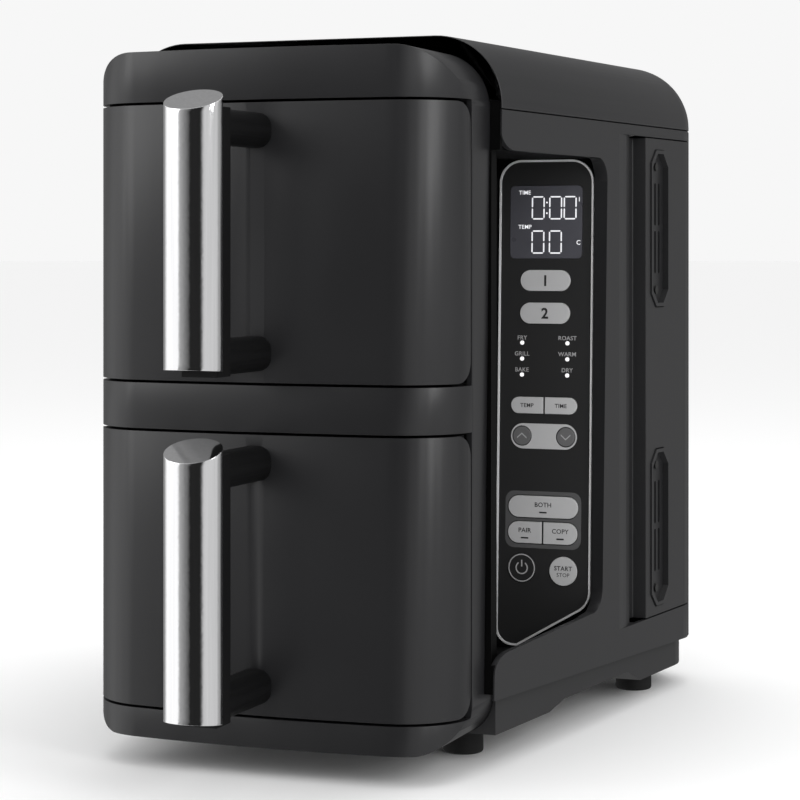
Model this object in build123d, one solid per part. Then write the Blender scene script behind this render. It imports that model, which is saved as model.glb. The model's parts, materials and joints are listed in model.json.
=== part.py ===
from build123d import *
import math
import os

# Two-drawer stacked air fryer.  Millimetres.  +Z up, drawers face -Y, controls are on the +X side.
# Origin: on the table, under the centre of the overall box.

# ---------------------------------------------------------------- driving dimensions
total_depth = 470.0            # handle front to back cover
total_height = 385.0
tower_width = 209.0            # the narrow front tower that holds the two drawers
tower_top = 375.5
tower_bottom = 16.0
bow_radius = 674.0             # plan radius of the bowed tower front
tower_corner = 38.0            # plan radius of the tower's two vertical corners
tower_edge = 30.0              # front-view radius of the tower's upper corners
tower_foot_edge = 21.0         # and of its lower corners
tower_wall = 3.0
handle_reach = 82.0            # handle front to the apex of the drawer front

drawer_front_height = 144.0
lower_front_bottom = 32.6
front_spacing = 26.8           # height of the band between the two drawer fronts
front_wrap = 38.0              # how far the drawer front wraps back from the apex
front_skin = 3.0
front_side_corner = 12.0       # side-view radius of the drawer front's rear corners
seam_gap = 1.4
shelf_thickness = 3.0

rim_depth = 67.0               # apex to the outer casing's front rim
rim_half = 111.5               # half width of the casing at its rim
rear_half = 146.6              # half width that the flared sides would reach at the back
rear_corner = 50.0
casing_edge = 38.0             # radius along the casing's top edge
casing_wall = 3.0
lean = 1.8                     # the casing's rim and control recess lean back, degrees
lean_height = 345.0            # height at which rim_depth is measured
band_depth = 8.0              # black surround between the tower and the casing
rim_lip = 0.9                  # casing edge that shows in front of the black surround
rim_rebate = 2.4               # depth of the step that the surround lies in
surround_sink = 0.5            # the surround stands this far behind the rim
surround_strip = 1.0           # width of the surround that stays between the tower and the recess
cover_seam = 345.3             # seam between top cover and side covers
cover_gap = 0.6
cover_bottom_front = 37.0
cover_bottom_slope = 1.6       # the side covers' lower edge drops to the back, degrees

base_inset = 6.0
base_bottoms = (16.5, 20.5, 12.5)   # height of the tray's floor at the front, middle and back
base_steps = (152.0, 266.0)    # depths where the floor's height changes
base_ramp = 20.0               # length of each slope between two floor heights
base_ledge = 40.0
base_wall = 3.0
boss_depths = (140.0, 190.0, 235.0)
boss_height = 9.0
boss_radius = 8.0
boss_inset = 10.6              # screw centres inside the casing's outer side
ledge_width = 14.0
screw_head = 2.8
foot_radius = 11.0
foot_sink = 2.0
front_foot = (77.0, 103.0)     # x, depth behind the apex
rear_foot = (113.0, 316.0)

split_depth = 342.0            # side covers end and the back cover starts
trim_front = 270.0             # depth of the rear trim's front edge
trim_bottom = 50.0
trim_top = 339.0
groove_width = 12.5
groove_sink = 8.5
roll_length = 30.0
roll_sink = 5.5
pod_depth = 292.0              # depth of the side vents' centre line
pod_length = 95.0
pod_width = 30.0
pod_heights = (284.2, 103.5)
pod_sink = 3.0
slot_width = 2.8
slot_pitch = 6.2
slot_length = 26.0
trim_screw_offset = 37.3       # screw above and below each vent's middle
trim_screw_radius = 2.5
vent_chamfer = 8.0
louvre_rows = 4                # exhaust slots above and below each fan's middle
louvre_length = 44.0
louvre_taper = 2.2             # each row is this much shorter than the one nearer the middle
louvre_height = 4.0
louvre_pitch = 9.0
louvre_rib = 3.0

panel_width = 54.7
panel_height = 280.0
panel_margin = 7.62            # casing that is left beside the panel's pocket
panel_depth = 208.0            # apex to the control panel's face
panel_middle = 182.5           # height of the panel's middle
panel_slant = 30.0             # slope of the panel's lower edge, degrees
panel_slant_start = 11.5
panel_corner = 12.0
panel_gap = 2.2
panel_top_gap = 1.5
panel_thickness = 2.0
panel_trim_width = 1.3
recess_margin = 2.0            # casing margin stands this far in front of the panel
recess_shelf = 65.5            # height of the opening's lower edge at its back
recess_sill = 60.0             # and at the rim
recess_corner = 13.0           # side-view radius of the opening's two rear corners
pod_wall = 2.0
pocket_depth = 10.0
mouth_length = 18.0            # rounding of the recess's two edges at the rim
mouth_rise = 10.0

display_u = 27.3               # display window's middle and size on the panel
display_v = 105.0
display_w = 44.2
display_h = 42.7
lamp_columns = (13.3, 40.8)
lamp_rows = (34.7, 25.4, 16.1)
lamp_radius = 1.15
lamp_clearance = 0.15

key_stand = 0.5
key_depth = 2.6
key_clearance = 0.3
key_travel = 0.5
board_thickness = 1.6
board_set_back = 5.0

basket_length = 238.0
basket_height = 116.0
basket_wall = 1.6
basket_corner = 16.0
cavity_side_gap = 3.7          # tower's left side to the cavity
pod_clearance = 3.4            # control recess to the cavity
cavity_wall = 1.2
cavity_height = 138.0
cavity_clearance = 2.6         # basket side to cavity wall
cavity_above_front = 1.4       # cavity bottom above the drawer front's lower edge
cavity_front = 45.0            # depth of the cavity's mouth
runner_height = 3.0
runner_width = 8.0
slide_clearance = 0.4

crisper_rise = 12.0
crisper_thickness = 1.6
crisper_clearance = 2.0

bar_width = 30.5
bar_thickness = 21.0
bar_bottom = 8.9               # above the drawer front's lower edge
bar_rise = 2.9                 # bar's top above the drawer front's upper edge
bar_slant = 27.0
post_size = 19.0
post_margins = (15.0, 14.5)    # post centres from the drawer front's lower and upper edges
spine_thickness = 19.0
spine_corner = 4.0

chamber_back = 319.0           # depth of the cavity's back wall, outer face
guard_gap = 5.0                # basket to fan guard
fan_radius = 50.0
fan_blades = 9
shaft_radius = 3.0
running_clearance = 0.05
motor_radius = 27.0
motor_length = 33.0
cooling_fan_radius = 44.0
bulkhead_gap = 18.0
bulkhead_thickness = 2.0
element_radius = 54.0
element_tube = 3.2

gland_height = 62.0
gland_x = 62.0
gland_radius = 9.0
gland_hole = 3.8

# ---------------------------------------------------------------- derived places
front_limit = -total_depth / 2
apex_y = front_limit + handle_reach
rear_y = total_depth / 2
rim_y = apex_y + rim_depth
tower_half = tower_width / 2
flare = math.atan2(rear_half - rim_half, rear_y - rim_y)
panel_y = apex_y + panel_depth
upper_front_bottom = lower_front_bottom + drawer_front_height + front_spacing
bar_length = drawer_front_height + bar_rise - bar_bottom
post_heights = (post_margins[0], drawer_front_height - post_margins[1])


def depth(distance):
    """Y of a place that is this far behind the apex of the drawer fronts."""
    return apex_y + distance


def casing_half(y):
    """Half width of the casing's outer side at a given Y."""
    return rim_half + (y - rim_y) * math.tan(flare)


# the panel lies beside the casing's side, and the baskets lie between it and the tower's left side
panel_left = casing_half(panel_y) - panel_margin - panel_gap - panel_width
panel_right = panel_left + panel_width
cavity_right = panel_left - panel_gap - pod_wall - pod_clearance
cavity_left = cavity_side_gap - tower_half
basket_width = cavity_right - cavity_left - 2 * (cavity_clearance + cavity_wall)
basket_shift = (cavity_left + cavity_right) / 2
boss_rows = tuple(depth(d) for d in boss_depths)
fan_heights = tuple(z + cavity_above_front + cavity_height / 2 for z in (lower_front_bottom, upper_front_bottom))


def block(x0, x1, y0, y1, z0, z1):
    """Box from its low and high corners."""
    size = Box(x1 - x0, y1 - y0, z1 - z0)
    return Pos((x0 + x1) / 2, (y0 + y1) / 2, (z0 + z1) / 2) * size


def rod_y(radius, x, z, y0, y1):
    """Round bar along Y."""
    bar = Rot(X=-90) * Cylinder(radius, y1 - y0, align=(Align.CENTER, Align.CENTER, Align.MIN))
    return Pos(x, y0, z) * bar


def rod_x(radius, y, z, x0, x1):
    """Round bar along X."""
    bar = Rot(Y=90) * Cylinder(radius, x1 - x0, align=(Align.CENTER, Align.CENTER, Align.MIN))
    return Pos(x0, y, z) * bar


def rod_z(radius, x, y, z0, z1):
    """Round bar along Z."""
    return Pos(x, y, z0) * Cylinder(radius, z1 - z0, align=(Align.CENTER, Align.CENTER, Align.MIN))


def save(name, shape):
    """Write one node's solids."""
    solids = shape.solids() if not isinstance(shape, list) else [s for one in shape for s in one.solids()]
    node = solids[0] if len(solids) == 1 else Compound(children=solids)
    export_step(node, os.path.join("parts", name + ".step"))


def mirrored(shape):
    """The same piece on the other side."""
    return mirror(shape, about=Plane.YZ)


# ---------------------------------------------------------------- shared forms
def tower_face(inset, y_back):
    """Plan outline of the tower: bowed front, two round corners, straight sides."""
    half = tower_half - inset
    bow = bow_radius - inset
    corner = tower_corner - inset
    top = apex_y + inset
    centre_y = top + bow
    turn = math.asin((half - corner) / (bow - corner))
    corner_y = centre_y - (bow - corner) * math.cos(turn)
    touch = (bow * math.sin(turn), centre_y - bow * math.cos(turn))
    middle = math.radians(90 - math.degrees(turn)) / 2
    bend = (half - corner + corner * math.cos(middle), corner_y - corner * math.sin(middle))
    side = (half, corner_y)
    right = [
        ThreePointArc(touch, bend, side),
        Line(side, (half, y_back)),
    ]
    left = [
        Line((-half, y_back), (-side[0], side[1])),
        ThreePointArc((-side[0], side[1]), (-bend[0], bend[1]), (-touch[0], touch[1])),
    ]
    front = ThreePointArc((-touch[0], touch[1]), (0, top), touch)
    back = Line((half, y_back), (-half, y_back))
    return make_face([front] + right + [back] + left)


def tower_form(inset, y_back):
    """The tower as a solid, with its four front-view corners rounded."""
    body = extrude(Pos(0, 0, tower_bottom + inset) * tower_face(inset, y_back),
                   tower_top - tower_bottom - 2 * inset)
    outline = Rectangle(2 * (tower_half - inset), tower_top - tower_bottom - 2 * inset)
    outline = fillet(outline.vertices().sort_by(Axis.Y)[-2:], tower_edge - inset)
    outline = fillet(outline.vertices().sort_by(Axis.Y)[:2], tower_foot_edge - inset)
    middle = (tower_top + tower_bottom) / 2
    prism = Pos(0, 0, middle) * extrude(Plane.XZ * outline, total_depth, both=True)
    return body & prism


def casing_form(inset, z_low, y_front):
    """The outer casing's hull: sides flare to the back, round rear corners and a round top edge."""
    shift = inset / math.cos(flare)
    front = casing_half(y_front) - shift
    back = casing_half(rear_y - inset) - shift
    face = make_face(Polyline((-front, y_front), (front, y_front), (back, rear_y - inset),
                              (-back, rear_y - inset), close=True))
    face = fillet(face.vertices().sort_by(Axis.Y)[-2:], rear_corner - inset)
    body = extrude(Pos(0, 0, z_low) * face, total_height - inset - z_low)
    roof = body.faces().sort_by(Axis.Z)[-1]
    edges = [e for e in roof.edges() if e.center().Y > y_front + 0.01]
    return fillet(edges, casing_edge - inset)


def leaned(shape):
    """Tip a shape back about the control panel's middle, as the rim and the recess are."""
    there = Pos(0, panel_y, panel_middle)
    back = Pos(0, -panel_y, -panel_middle)
    return there * Rot(X=-lean) * back * shape


def rim_cutter(set_back):
    """Everything in front of the leaning rim plane."""
    slab = Box(2 * total_depth, total_depth, 3 * total_height, align=(Align.CENTER, Align.MAX, Align.CENTER))
    return Pos(0, rim_y + set_back, lean_height) * Rot(X=-lean) * slab


def lower_cutter():
    """Everything under the side covers' sloping lower edge."""
    slab = Box(2 * total_depth, 3 * total_depth, total_height, align=(Align.CENTER, Align.CENTER, Align.MAX))
    return Pos(0, rim_y, cover_bottom_front) * Rot(X=-cover_bottom_slope) * slab


def panel_outline(grow):
    """The control panel seen from the front: round corners and a slanted lower edge."""
    low = -panel_height / 2
    rise = (panel_width - panel_slant_start) * math.tan(math.radians(panel_slant))
    face = make_face(Polyline((0, low), (panel_slant_start, low), (panel_width, low + rise),
                              (panel_width, -low), (0, -low), close=True))
    upper = face.vertices().sort_by(Axis.Y)[-2:]
    face = fillet(upper, panel_corner)
    lower = [v for v in face.vertices() if v.Y < low + rise + 0.01]
    face = fillet([v for v in lower if v.X > 1 and v.Y > low + 1], panel_corner)
    lower = [v for v in face.vertices() if v.Y < low + 0.01]
    face = fillet([v for v in lower if v.X < 1], panel_corner * 0.75)
    if grow:
        face = offset(face, amount=grow, kind=Kind.ARC)
    return face


panel_plane = Plane(origin=(panel_left, panel_y, panel_middle), x_dir=(1, 0, 0),
                    z_dir=(0, -math.cos(math.radians(lean)), math.sin(math.radians(lean))))


def on_panel(sketch, w0, w1):
    """Extrude a sketch in the control panel's own plane, w measured out of the panel's face."""
    return panel_plane * Pos(0, 0, w0) * extrude(sketch, w1 - w0)


def recess_form(grow):
    """The open recess at the right, from the rim back to the control panel."""
    inner_front = tower_half + surround_strip
    inner_back = panel_left - panel_gap
    far = rear_half + 30
    y_front = depth(30)
    y_back = panel_y - recess_margin
    low = panel_middle - panel_height / 2 - panel_gap
    high = panel_middle + panel_height / 2 + panel_top_gap
    knee = panel_right - 2
    # in front of the panel the floor follows the panel's slanted lower edge
    front = make_face(Polyline((-far, low), (panel_left + panel_slant_start, low), (knee, recess_sill - 2),
                               (far, recess_sill - 2), (far, high), (-far, high), close=True))
    front = offset(front, amount=grow, kind=Kind.INTERSECTION) if grow else front
    slope = (inner_front - inner_back) / (y_back - rim_y)
    start = inner_front + slope * (rim_y - y_front)
    reach = 2 * recess_corner
    plan = make_face(Polyline((start, y_front), (far, y_front), (far, y_back + reach),
                              (inner_back, y_back + reach), (inner_back, y_back), close=True))
    plan = offset(plan, amount=grow, kind=Kind.INTERSECTION) if grow else plan
    column = extrude(plan, total_height)
    ahead = leaned(block(-far, far, -total_depth, y_back + grow, -total_height, 2 * total_height))
    inner = extrude(Plane.XZ * front, total_depth, both=True) & column & ahead
    split = panel_right + panel_gap
    inner = inner & block(-far, split + grow, -total_depth, total_depth, 0, total_height)
    outer = opening_form(grow, high) & column & block(split, far, -total_depth, total_depth, 0, total_height)
    return inner + outer


def sill_height(y):
    """Height of the opening's sloping lower edge at a given Y."""
    y_back = panel_y - recess_margin + (recess_shelf - panel_middle) * math.tan(math.radians(lean))
    return recess_sill + (recess_shelf - recess_sill) * (y - rim_y) / (y_back - rim_y)


def sill_lip():
    """The casing's wall under the sloping sill, which stays when the recess is cut."""
    start = depth(30)
    side = make_face(Polyline((start, 0), (panel_y, 0), (panel_y, sill_height(panel_y)),
                              (start, sill_height(start)), close=True))
    return extrude(Plane.YZ * side, total_depth) - casing_form(casing_wall, -10, depth(10))


def opening_form(grow, high):
    """The recess's opening seen from the side: sloping sill and two round rear corners."""
    y_back = panel_y - recess_margin
    tip = math.tan(math.radians(lean))
    back_top = y_back + (high - panel_middle) * tip
    back_low = y_back + (recess_shelf - panel_middle) * tip
    y_start = depth(30)
    sill = sill_height(y_start)
    side = make_face(Polyline((y_start, sill), (back_low, recess_shelf), (back_top, high),
                              (y_start, high), close=True))
    side = offset(side, amount=grow, kind=Kind.INTERSECTION) if grow else side
    corners = side.vertices().sort_by(Axis.X)[-2:]
    side = fillet(corners, recess_corner + grow)
    return extrude(Plane.YZ * side, total_depth)


def pocket_form(grow):
    """The closed pocket behind the control panel."""
    return on_panel(panel_outline(panel_gap + grow), -pocket_depth - grow, recess_margin + 1)


# ---------------------------------------------------------------- casing
def make_casing():
    shell = casing_form(0, 0, depth(20)) - casing_form(casing_wall, -10, depth(10))
    shell = shell - rim_cutter(0) - lower_cutter()
    rebate = casing_form(rim_lip, 0, depth(20)) - (casing_form(0, 0, depth(20)) - rim_cutter(rim_rebate))
    shell = shell - rebate
    wide = total_depth
    top = shell & block(-wide, wide, -wide, wide, cover_seam + cover_gap / 2, total_height + 10)
    sides = shell & block(-wide, wide, -wide, depth(split_depth) - cover_gap / 2, 0,
                          cover_seam - cover_gap / 2)
    back = shell & block(-wide, wide, depth(split_depth) + cover_gap / 2, wide, 0,
                         cover_seam - cover_gap / 2)

    # rolled edge in front of the trim groove
    thick = casing_form(0, 0, depth(20)) - casing_form(roll_sink + casing_wall, -10, depth(10))
    roll_end = depth(trim_front - groove_width)
    roll_start = roll_end - roll_length
    roll_block = thick & block(60, wide, roll_start, roll_end, trim_bottom - casing_wall, trim_top + casing_wall)
    roll_radius = roll_length ** 2 / (2 * roll_sink)
    touch_x = casing_half(roll_start)
    centre = (touch_x - roll_radius * math.cos(flare), roll_start + roll_radius * math.sin(flare))
    drum = rod_z(roll_radius, centre[0], centre[1], 0, total_height)
    roll_cut = block(60, wide, roll_start, roll_end + 1, trim_bottom, trim_top) - drum

    window = block(60, wide, roll_end, wide, trim_bottom, trim_top)
    right = (sides & block(0, wide, -wide, wide, 0, total_height)) + roll_block
    right = right - roll_cut - window

    # bosses for the screws from the base
    for y in boss_rows:
        boss = rod_z(boss_radius, boss_x(y), y, base_ledge + base_wall, base_ledge + boss_height)
        right = right + (boss & casing_form(casing_wall - 0.5, 0, depth(20)))
        right = right - rod_z(1.4, boss_x(y), y, base_ledge, base_ledge + boss_height - 2)
    left = mirrored(right)

    # control recess, with a front-facing margin beside the panel
    high = panel_middle + panel_height / 2 + panel_top_gap
    lip = casing_form(0, 0, depth(20)) & leaned(block(
        panel_right + panel_gap, wide, panel_y - recess_margin - 2 * recess_corner, panel_y + 2,
        recess_shelf - 8, high + 4))
    right = (right + (lip & block(0, wide, -wide, wide, recess_sill - 2, high + 2)))
    right = right - (recess_form(0) - sill_lip())
    right = largest(right)
    right = right - recess_mouth()
    right = largest(right)
    save("right_side_cover", right)
    save("left_side_cover", left)
    save("top_cover", top)

    # back cover with exhaust louvres and an opening for the cord
    for fan_z in fan_heights:
        for row in range(-louvre_rows, louvre_rows + 1):
            half = louvre_length - louvre_taper * abs(row)
            for side in (-1, 1):
                x0 = basket_shift + side * (half + louvre_rib) / 2
                slot = Box(half, 20, louvre_height)
                back = back - Pos(x0, rear_y, fan_z + louvre_pitch * row) * slot
    back = back - rod_y(gland_radius - 2, gland_x, gland_height, rear_y - 20, rear_y + 5)
    save("rear_cover", back)


def largest(shape):
    """The biggest solid of a shape."""
    return sorted(shape.solids(), key=lambda s: s.volume)[-1]


def recess_mouth():
    """Rounds the side cover's two edges where the recess opens at the rim."""
    high = panel_middle + panel_height / 2 + panel_top_gap
    rim = rim_y - (lean_height - high) * math.tan(math.radians(lean))
    upper = block(60, total_depth, rim - 20, rim + mouth_length, high - 5, high + mouth_rise)
    oval = Plane.YZ * Pos(rim + mouth_length, high + mouth_rise) * Ellipse(mouth_length, mouth_rise)
    upper = upper - extrude(oval, total_depth)
    foot = rim_y - (lean_height - recess_sill) * math.tan(math.radians(lean))
    sill = sill_height(foot + mouth_length)
    lower = block(60, total_depth, foot - 20, foot + mouth_length, sill - mouth_rise, sill + 5)
    oval = Plane.YZ * Pos(foot + mouth_length, sill - mouth_rise) * Ellipse(mouth_length, mouth_rise)
    lower = lower - extrude(oval, total_depth)
    return upper + lower


def boss_x(y):
    """Half distance between the two rows of cover screws at a given Y."""
    return casing_half(y) - boss_inset


def make_rear_trims():
    wide = total_depth
    y0 = depth(trim_front)
    y1 = depth(split_depth) - cover_gap / 2
    z0 = trim_bottom + cover_gap
    z1 = trim_top - cover_gap
    outer = casing_form(0, 0, depth(20))
    skin = (outer - casing_form(casing_wall, -10, depth(10))) & block(60, wide, y0, y1, z0, z1)
    deep = casing_form(groove_sink, 0, depth(20)) - casing_form(groove_sink + casing_wall, -10, depth(10))
    floor = deep & block(60, wide, y0 - groove_width, y0 + casing_wall, z0, z1)
    web = outer - casing_form(groove_sink + casing_wall, -10, depth(10))
    web = web & block(60, wide, y0, y0 + casing_wall, z0, z1)
    trim = skin + floor + web
    # octagonal openings for the side vents
    frames = []
    grilles = []
    screws = []
    y = depth(pod_depth)
    surface = casing_half(y)
    angle = -math.degrees(flare)
    for z in pod_heights:
        place = Pos(surface, y, z) * Rot(Z=angle) * Rot(Y=90)
        opening = extrude(pod_sketch(0), 40, both=True)
        trim = trim - place * opening
        plate = Pos(0, 0, -pod_sink - 2.4) * extrude(pod_sketch(-0.3), 2.4)
        lip = Pos(0, 0, -pod_sink - 0.01) * extrude(pod_sketch(-0.3) - pod_sketch(-2.4), pod_sink + 0.81)
        plate = plate + lip
        for group in (-1, 1):
            for k in (-1, 0, 1):
                middle = (group * (slot_length / 2 + 1.5), k * slot_pitch)
                cut = extrude(Pos(*middle) * SlotOverall(slot_length, slot_width), 20, both=True)
                plate = plate - cut
        for side in (-1, 1):
            hole = Pos(side * trim_screw_offset, 0) * Circle(1.3)
            plate = plate - extrude(hole, 20, both=True)
            head = Pos(side * trim_screw_offset, 0, -pod_sink) * Cylinder(
                trim_screw_radius, 1.2, align=(Align.CENTER, Align.CENTER, Align.MIN))
            shank = Pos(side * trim_screw_offset, 0, -pod_sink - 4.5) * Cylinder(
                1.2, 4.6, align=(Align.CENTER, Align.CENTER, Align.MIN))
            screws.append(place * (head + shank))
        grilles.append(place * plate)
    save("right_rear_trim", trim)
    save("left_rear_trim", mirrored(trim))
    save("vent_grilles", grilles + [mirrored(g) for g in grilles])
    save("vent_screws", screws + [mirrored(s) for s in screws])


def pod_sketch(grow):
    """Long octagon of a side vent."""
    face = Rectangle(pod_length + 2 * grow, pod_width + 2 * grow)
    return chamfer(face.vertices(), vent_chamfer)


def tray_profile(wall):
    """Side view of the base tray, drawn through its width; a wall raises its floor."""
    front, middle, back = (height + wall for height in base_bottoms)
    first, second = (depth(step) for step in base_steps)
    start = depth(rim_depth + 5) + wall
    top = total_height if wall else base_ledge
    half = base_ramp / 2
    side = make_face(Polyline((start, front), (first - half, front), (first + half, middle),
                              (second - half, middle), (second + half, back), (total_depth, back),
                              (total_depth, top), (start, top), close=True))
    return extrude(Plane.YZ * side, total_depth, both=True)


def make_base():
    wide = total_depth
    outer = casing_form(base_inset, 0, depth(20))
    inner = casing_form(base_inset + base_wall, -10, depth(10))
    pan = (outer & tray_profile(0)) - (inner & tray_profile(base_wall))
    shelf_hole = casing_form(casing_wall + ledge_width, -10, depth(10))
    ledge = (casing_form(casing_wall + 0.3, 0, depth(20)) - shelf_hole) & block(
        -wide, wide, depth(rim_depth + band_depth) + 0.5, wide, base_ledge, base_ledge + base_wall)
    pan = pan + ledge
    x0, x1, z0, z1 = cavity_span(lower_front_bottom)
    pan = pan - block(x0 - 0.3, x1 + 0.3, -wide, depth(chamber_back) + 0.5, z0 - 0.3, z1)
    pan = pan - tower_form(-0.3, depth(rim_depth + band_depth) + 0.3)
    pan = sorted(pan.solids(), key=lambda s: s.volume)[-1]
    for y in boss_rows:
        for side in (-1, 1):
            pan = pan - rod_z(1.8, side * boss_x(y), y, base_ledge - 5, base_ledge + 10)
            pan = pan - rod_z(screw_head + 0.3, side * boss_x(y), y, base_ledge - 2.2, base_ledge)
    feet = []
    screws = []
    for side in (-1, 1):
        for (x, d), z in ((front_foot, base_bottoms[0]), (rear_foot, base_bottoms[2])):
            pad = rod_z(foot_radius, side * x, depth(d), 0, z)
            pad = fillet(pad.faces().sort_by(Axis.Z)[0].edges(), 1.5)
            stem = rod_z(foot_radius - 5, side * x, depth(d), z - 0.5, z + base_wall + foot_sink)
            pan = pan - rod_z(foot_radius - 5 + 0.2, side * x, depth(d), z - 1, z + base_wall + 1)
            feet.append(pad + stem)
        for y in boss_rows:
            head = rod_z(screw_head, side * boss_x(y), y, base_ledge - 1.8, base_ledge)
            shank = rod_z(1.3, side * boss_x(y), y, base_ledge - 0.5, base_ledge + boss_height - 3)
            screws.append(head + shank)
    # cooling slots in the tray's floor
    for k in range(-5, 6):
        slot = Box(7, 70, 20)
        pan = pan - Pos(14.0 * k, depth(215), base_bottoms[1]) * slot
    save("base_pan", pan)
    save("rubber_feet", feet)
    save("cover_screws", screws)


# ---------------------------------------------------------------- tower
def make_tower():
    y_back = depth(rim_depth + band_depth)
    outer = tower_form(0, y_back)
    inner = tower_form(tower_wall, y_back + 10)
    bezel = outer - inner
    wide = 2 * tower_width
    # shelves above and below each drawer front
    levels = (lower_front_bottom, upper_front_bottom)
    form = tower_form(0.5, y_back)
    for z in levels:
        under = block(-wide, wide, -wide, wide, z - seam_gap - shelf_thickness, z - seam_gap)
        over = block(-wide, wide, -wide, wide, z + drawer_front_height + seam_gap,
                     z + drawer_front_height + seam_gap + shelf_thickness)
        bezel = bezel + (form & (under + over))
    # face frame behind the drawer fronts
    plate = block(-wide, wide, depth(front_wrap + 3.4), depth(cavity_front), 0, total_height)
    bezel = bezel + (form & plate)
    for z in levels:
        pocket = block(-wide, wide, -wide, depth(front_wrap) + seam_gap, z - seam_gap,
                       z + drawer_front_height + seam_gap)
        bezel = bezel - pocket
        x0, x1, z0, z1 = cavity_span(z)
        bezel = bezel - block(x0, x1, -wide, wide, z0, z1)
    save("front_bezel", bezel)

    # black surround between the tower and the casing
    ring = casing_form(casing_wall + 0.2, 0, depth(20)) - rim_cutter(surround_sink)
    flange = casing_form(rim_lip + 0.1, 0, depth(20)) - rim_cutter(surround_sink)
    flange = flange & (casing_form(0, 0, depth(20)) & rim_cutter(rim_rebate - 0.1))
    ring = ring + flange
    ring = ring & block(-wide, wide, -wide, y_back, tower_bottom + 2, total_height)
    ring = ring - tower_form(-0.2, y_back + 10)
    ring = ring & block(-wide, wide, -wide, wide, base_ledge + 0.4, total_height)
    ring = ring - block(-tower_half, tower_half, -wide, wide, 0, tower_bottom + 40)
    ring = ring - (recess_form(0) & block(tower_half + surround_strip + 0.2, wide, -wide, wide, 0,
                                       total_height))
    save("rim_surround", ring)


def cavity_span(front_z):
    """Outer X and Z limits of the cavity behind the drawer front whose lower edge is front_z."""
    z0 = front_z + cavity_above_front
    return cavity_left, cavity_right, z0, z0 + cavity_height


# ---------------------------------------------------------------- control panel
def make_controls():
    casing = casing_form(casing_wall + 0.3, 0, depth(20))
    pod = (recess_form(pod_wall) + pocket_form(pod_wall)) - recess_form(0) - pocket_form(0)
    y_start = depth(rim_depth + band_depth) + 0.3
    pod = pod & casing & block(0, total_depth, y_start, total_depth, 0, total_height)
    pod = sorted(pod.solids(), key=lambda s: s.volume)[-1]
    lip_block = leaned(block(panel_right + panel_gap - 0.3, total_depth,
                             panel_y - recess_margin - 2 * recess_corner - 0.3, panel_y + 2.3, recess_shelf - 9,
                             panel_middle + panel_height / 2 + panel_gap + 5))
    pod = pod - lip_block
    pod = sorted(pod.solids(), key=lambda s: s.volume)[-1]
    harness_slot = on_panel(Pos(30, 60) * Rectangle(16, 10), -pocket_depth - 10, -pocket_depth + 1)
    save("control_pod", pod - harness_slot)

    overlay = on_panel(panel_outline(0), -panel_thickness, 0)
    trim = on_panel(panel_outline(panel_trim_width) - panel_outline(0.1), -panel_thickness, 0.6)
    screen_hole = Pos(display_u, display_v) * RectangleRounded(display_w, display_h, 3)
    overlay = overlay - on_panel(screen_hole, -10, 10)
    glass = Pos(display_u, display_v) * RectangleRounded(display_w - 0.4, display_h - 0.4, 2.8)
    screen = on_panel(glass, -4.5, 0.15)
    lights = []
    for u in lamp_columns:
        for v in lamp_rows:
            overlay = overlay - on_panel(Pos(u, v) * Circle(lamp_radius + lamp_clearance), -10, 10)
            lights.append(on_panel(Pos(u, v) * Circle(lamp_radius), -4.5, 0.12))
    for name, sketch in key_sketches():
        overlay = overlay - on_panel(offset(sketch, amount=key_clearance, kind=Kind.ARC), -10, 10)
        save(name, on_panel(sketch, -key_depth, key_stand))
    board = on_panel(Pos(panel_width / 2, 6) * Rectangle(panel_width - 8, panel_height - 46),
                     -board_set_back - board_thickness, -board_set_back)
    chip = on_panel(Pos(27, -30) * Rectangle(14, 14), -board_set_back - board_thickness - 1.8,
                    -board_set_back - board_thickness)
    socket = on_panel(Pos(30, 60) * Rectangle(12, 7), -board_set_back - board_thickness - 3,
                      -board_set_back - board_thickness)
    save("control_panel", overlay)
    save("panel_trim", trim)
    save("display_screen", screen)
    save("indicator_lights", lights)
    save("control_board", board + chip + socket)


def split_pill(u0, u1, v, height, side):
    """One half of a split pill: round at its outer end only (side -1 left, +1 right)."""
    width = u1 - u0
    centre = ((u0 + u1) / 2, v)
    plain = Rectangle(width, height)
    corners = [c for c in plain.vertices() if c.X * side > 0]
    return Pos(*centre) * fillet(corners, height / 2 - 0.05)


def pill(u, v, width, height):
    """A long key with round ends."""
    return Pos(u, v) * SlotOverall(width, height)


def disc(u, v, radius):
    """A round key."""
    return Pos(u, v) * Circle(radius)


def key_sketches():
    """Every key's outline on the panel: name and sketch."""
    return [
        ("key_zone_1", pill(27.2, 71.0, 30.3, 12.2)),
        ("key_zone_2", pill(27.1, 52.0, 30.3, 12.2)),
        ("key_temperature", split_pill(7.0, 26.5, -1.6, 9.6, -1)),
        ("key_time", split_pill(27.6, 47.0, -1.6, 9.6, 1)),
        ("key_up", disc(13.8, -19.4, 5.4)),
        ("key_down", disc(40.4, -19.6, 5.4)),
        ("key_stack", pill(27.1, -60.4, 42.2, 12.5)),
        ("key_sync", split_pill(5.9, 26.3, -75.4, 12.5, -1)),
        ("key_match", split_pill(27.4, 47.9, -75.4, 12.5, 1)),
        ("key_power", disc(14.5, -96.0, 8.3)),
        ("key_start", disc(39.6, -97.0, 8.3)),
    ]


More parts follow.
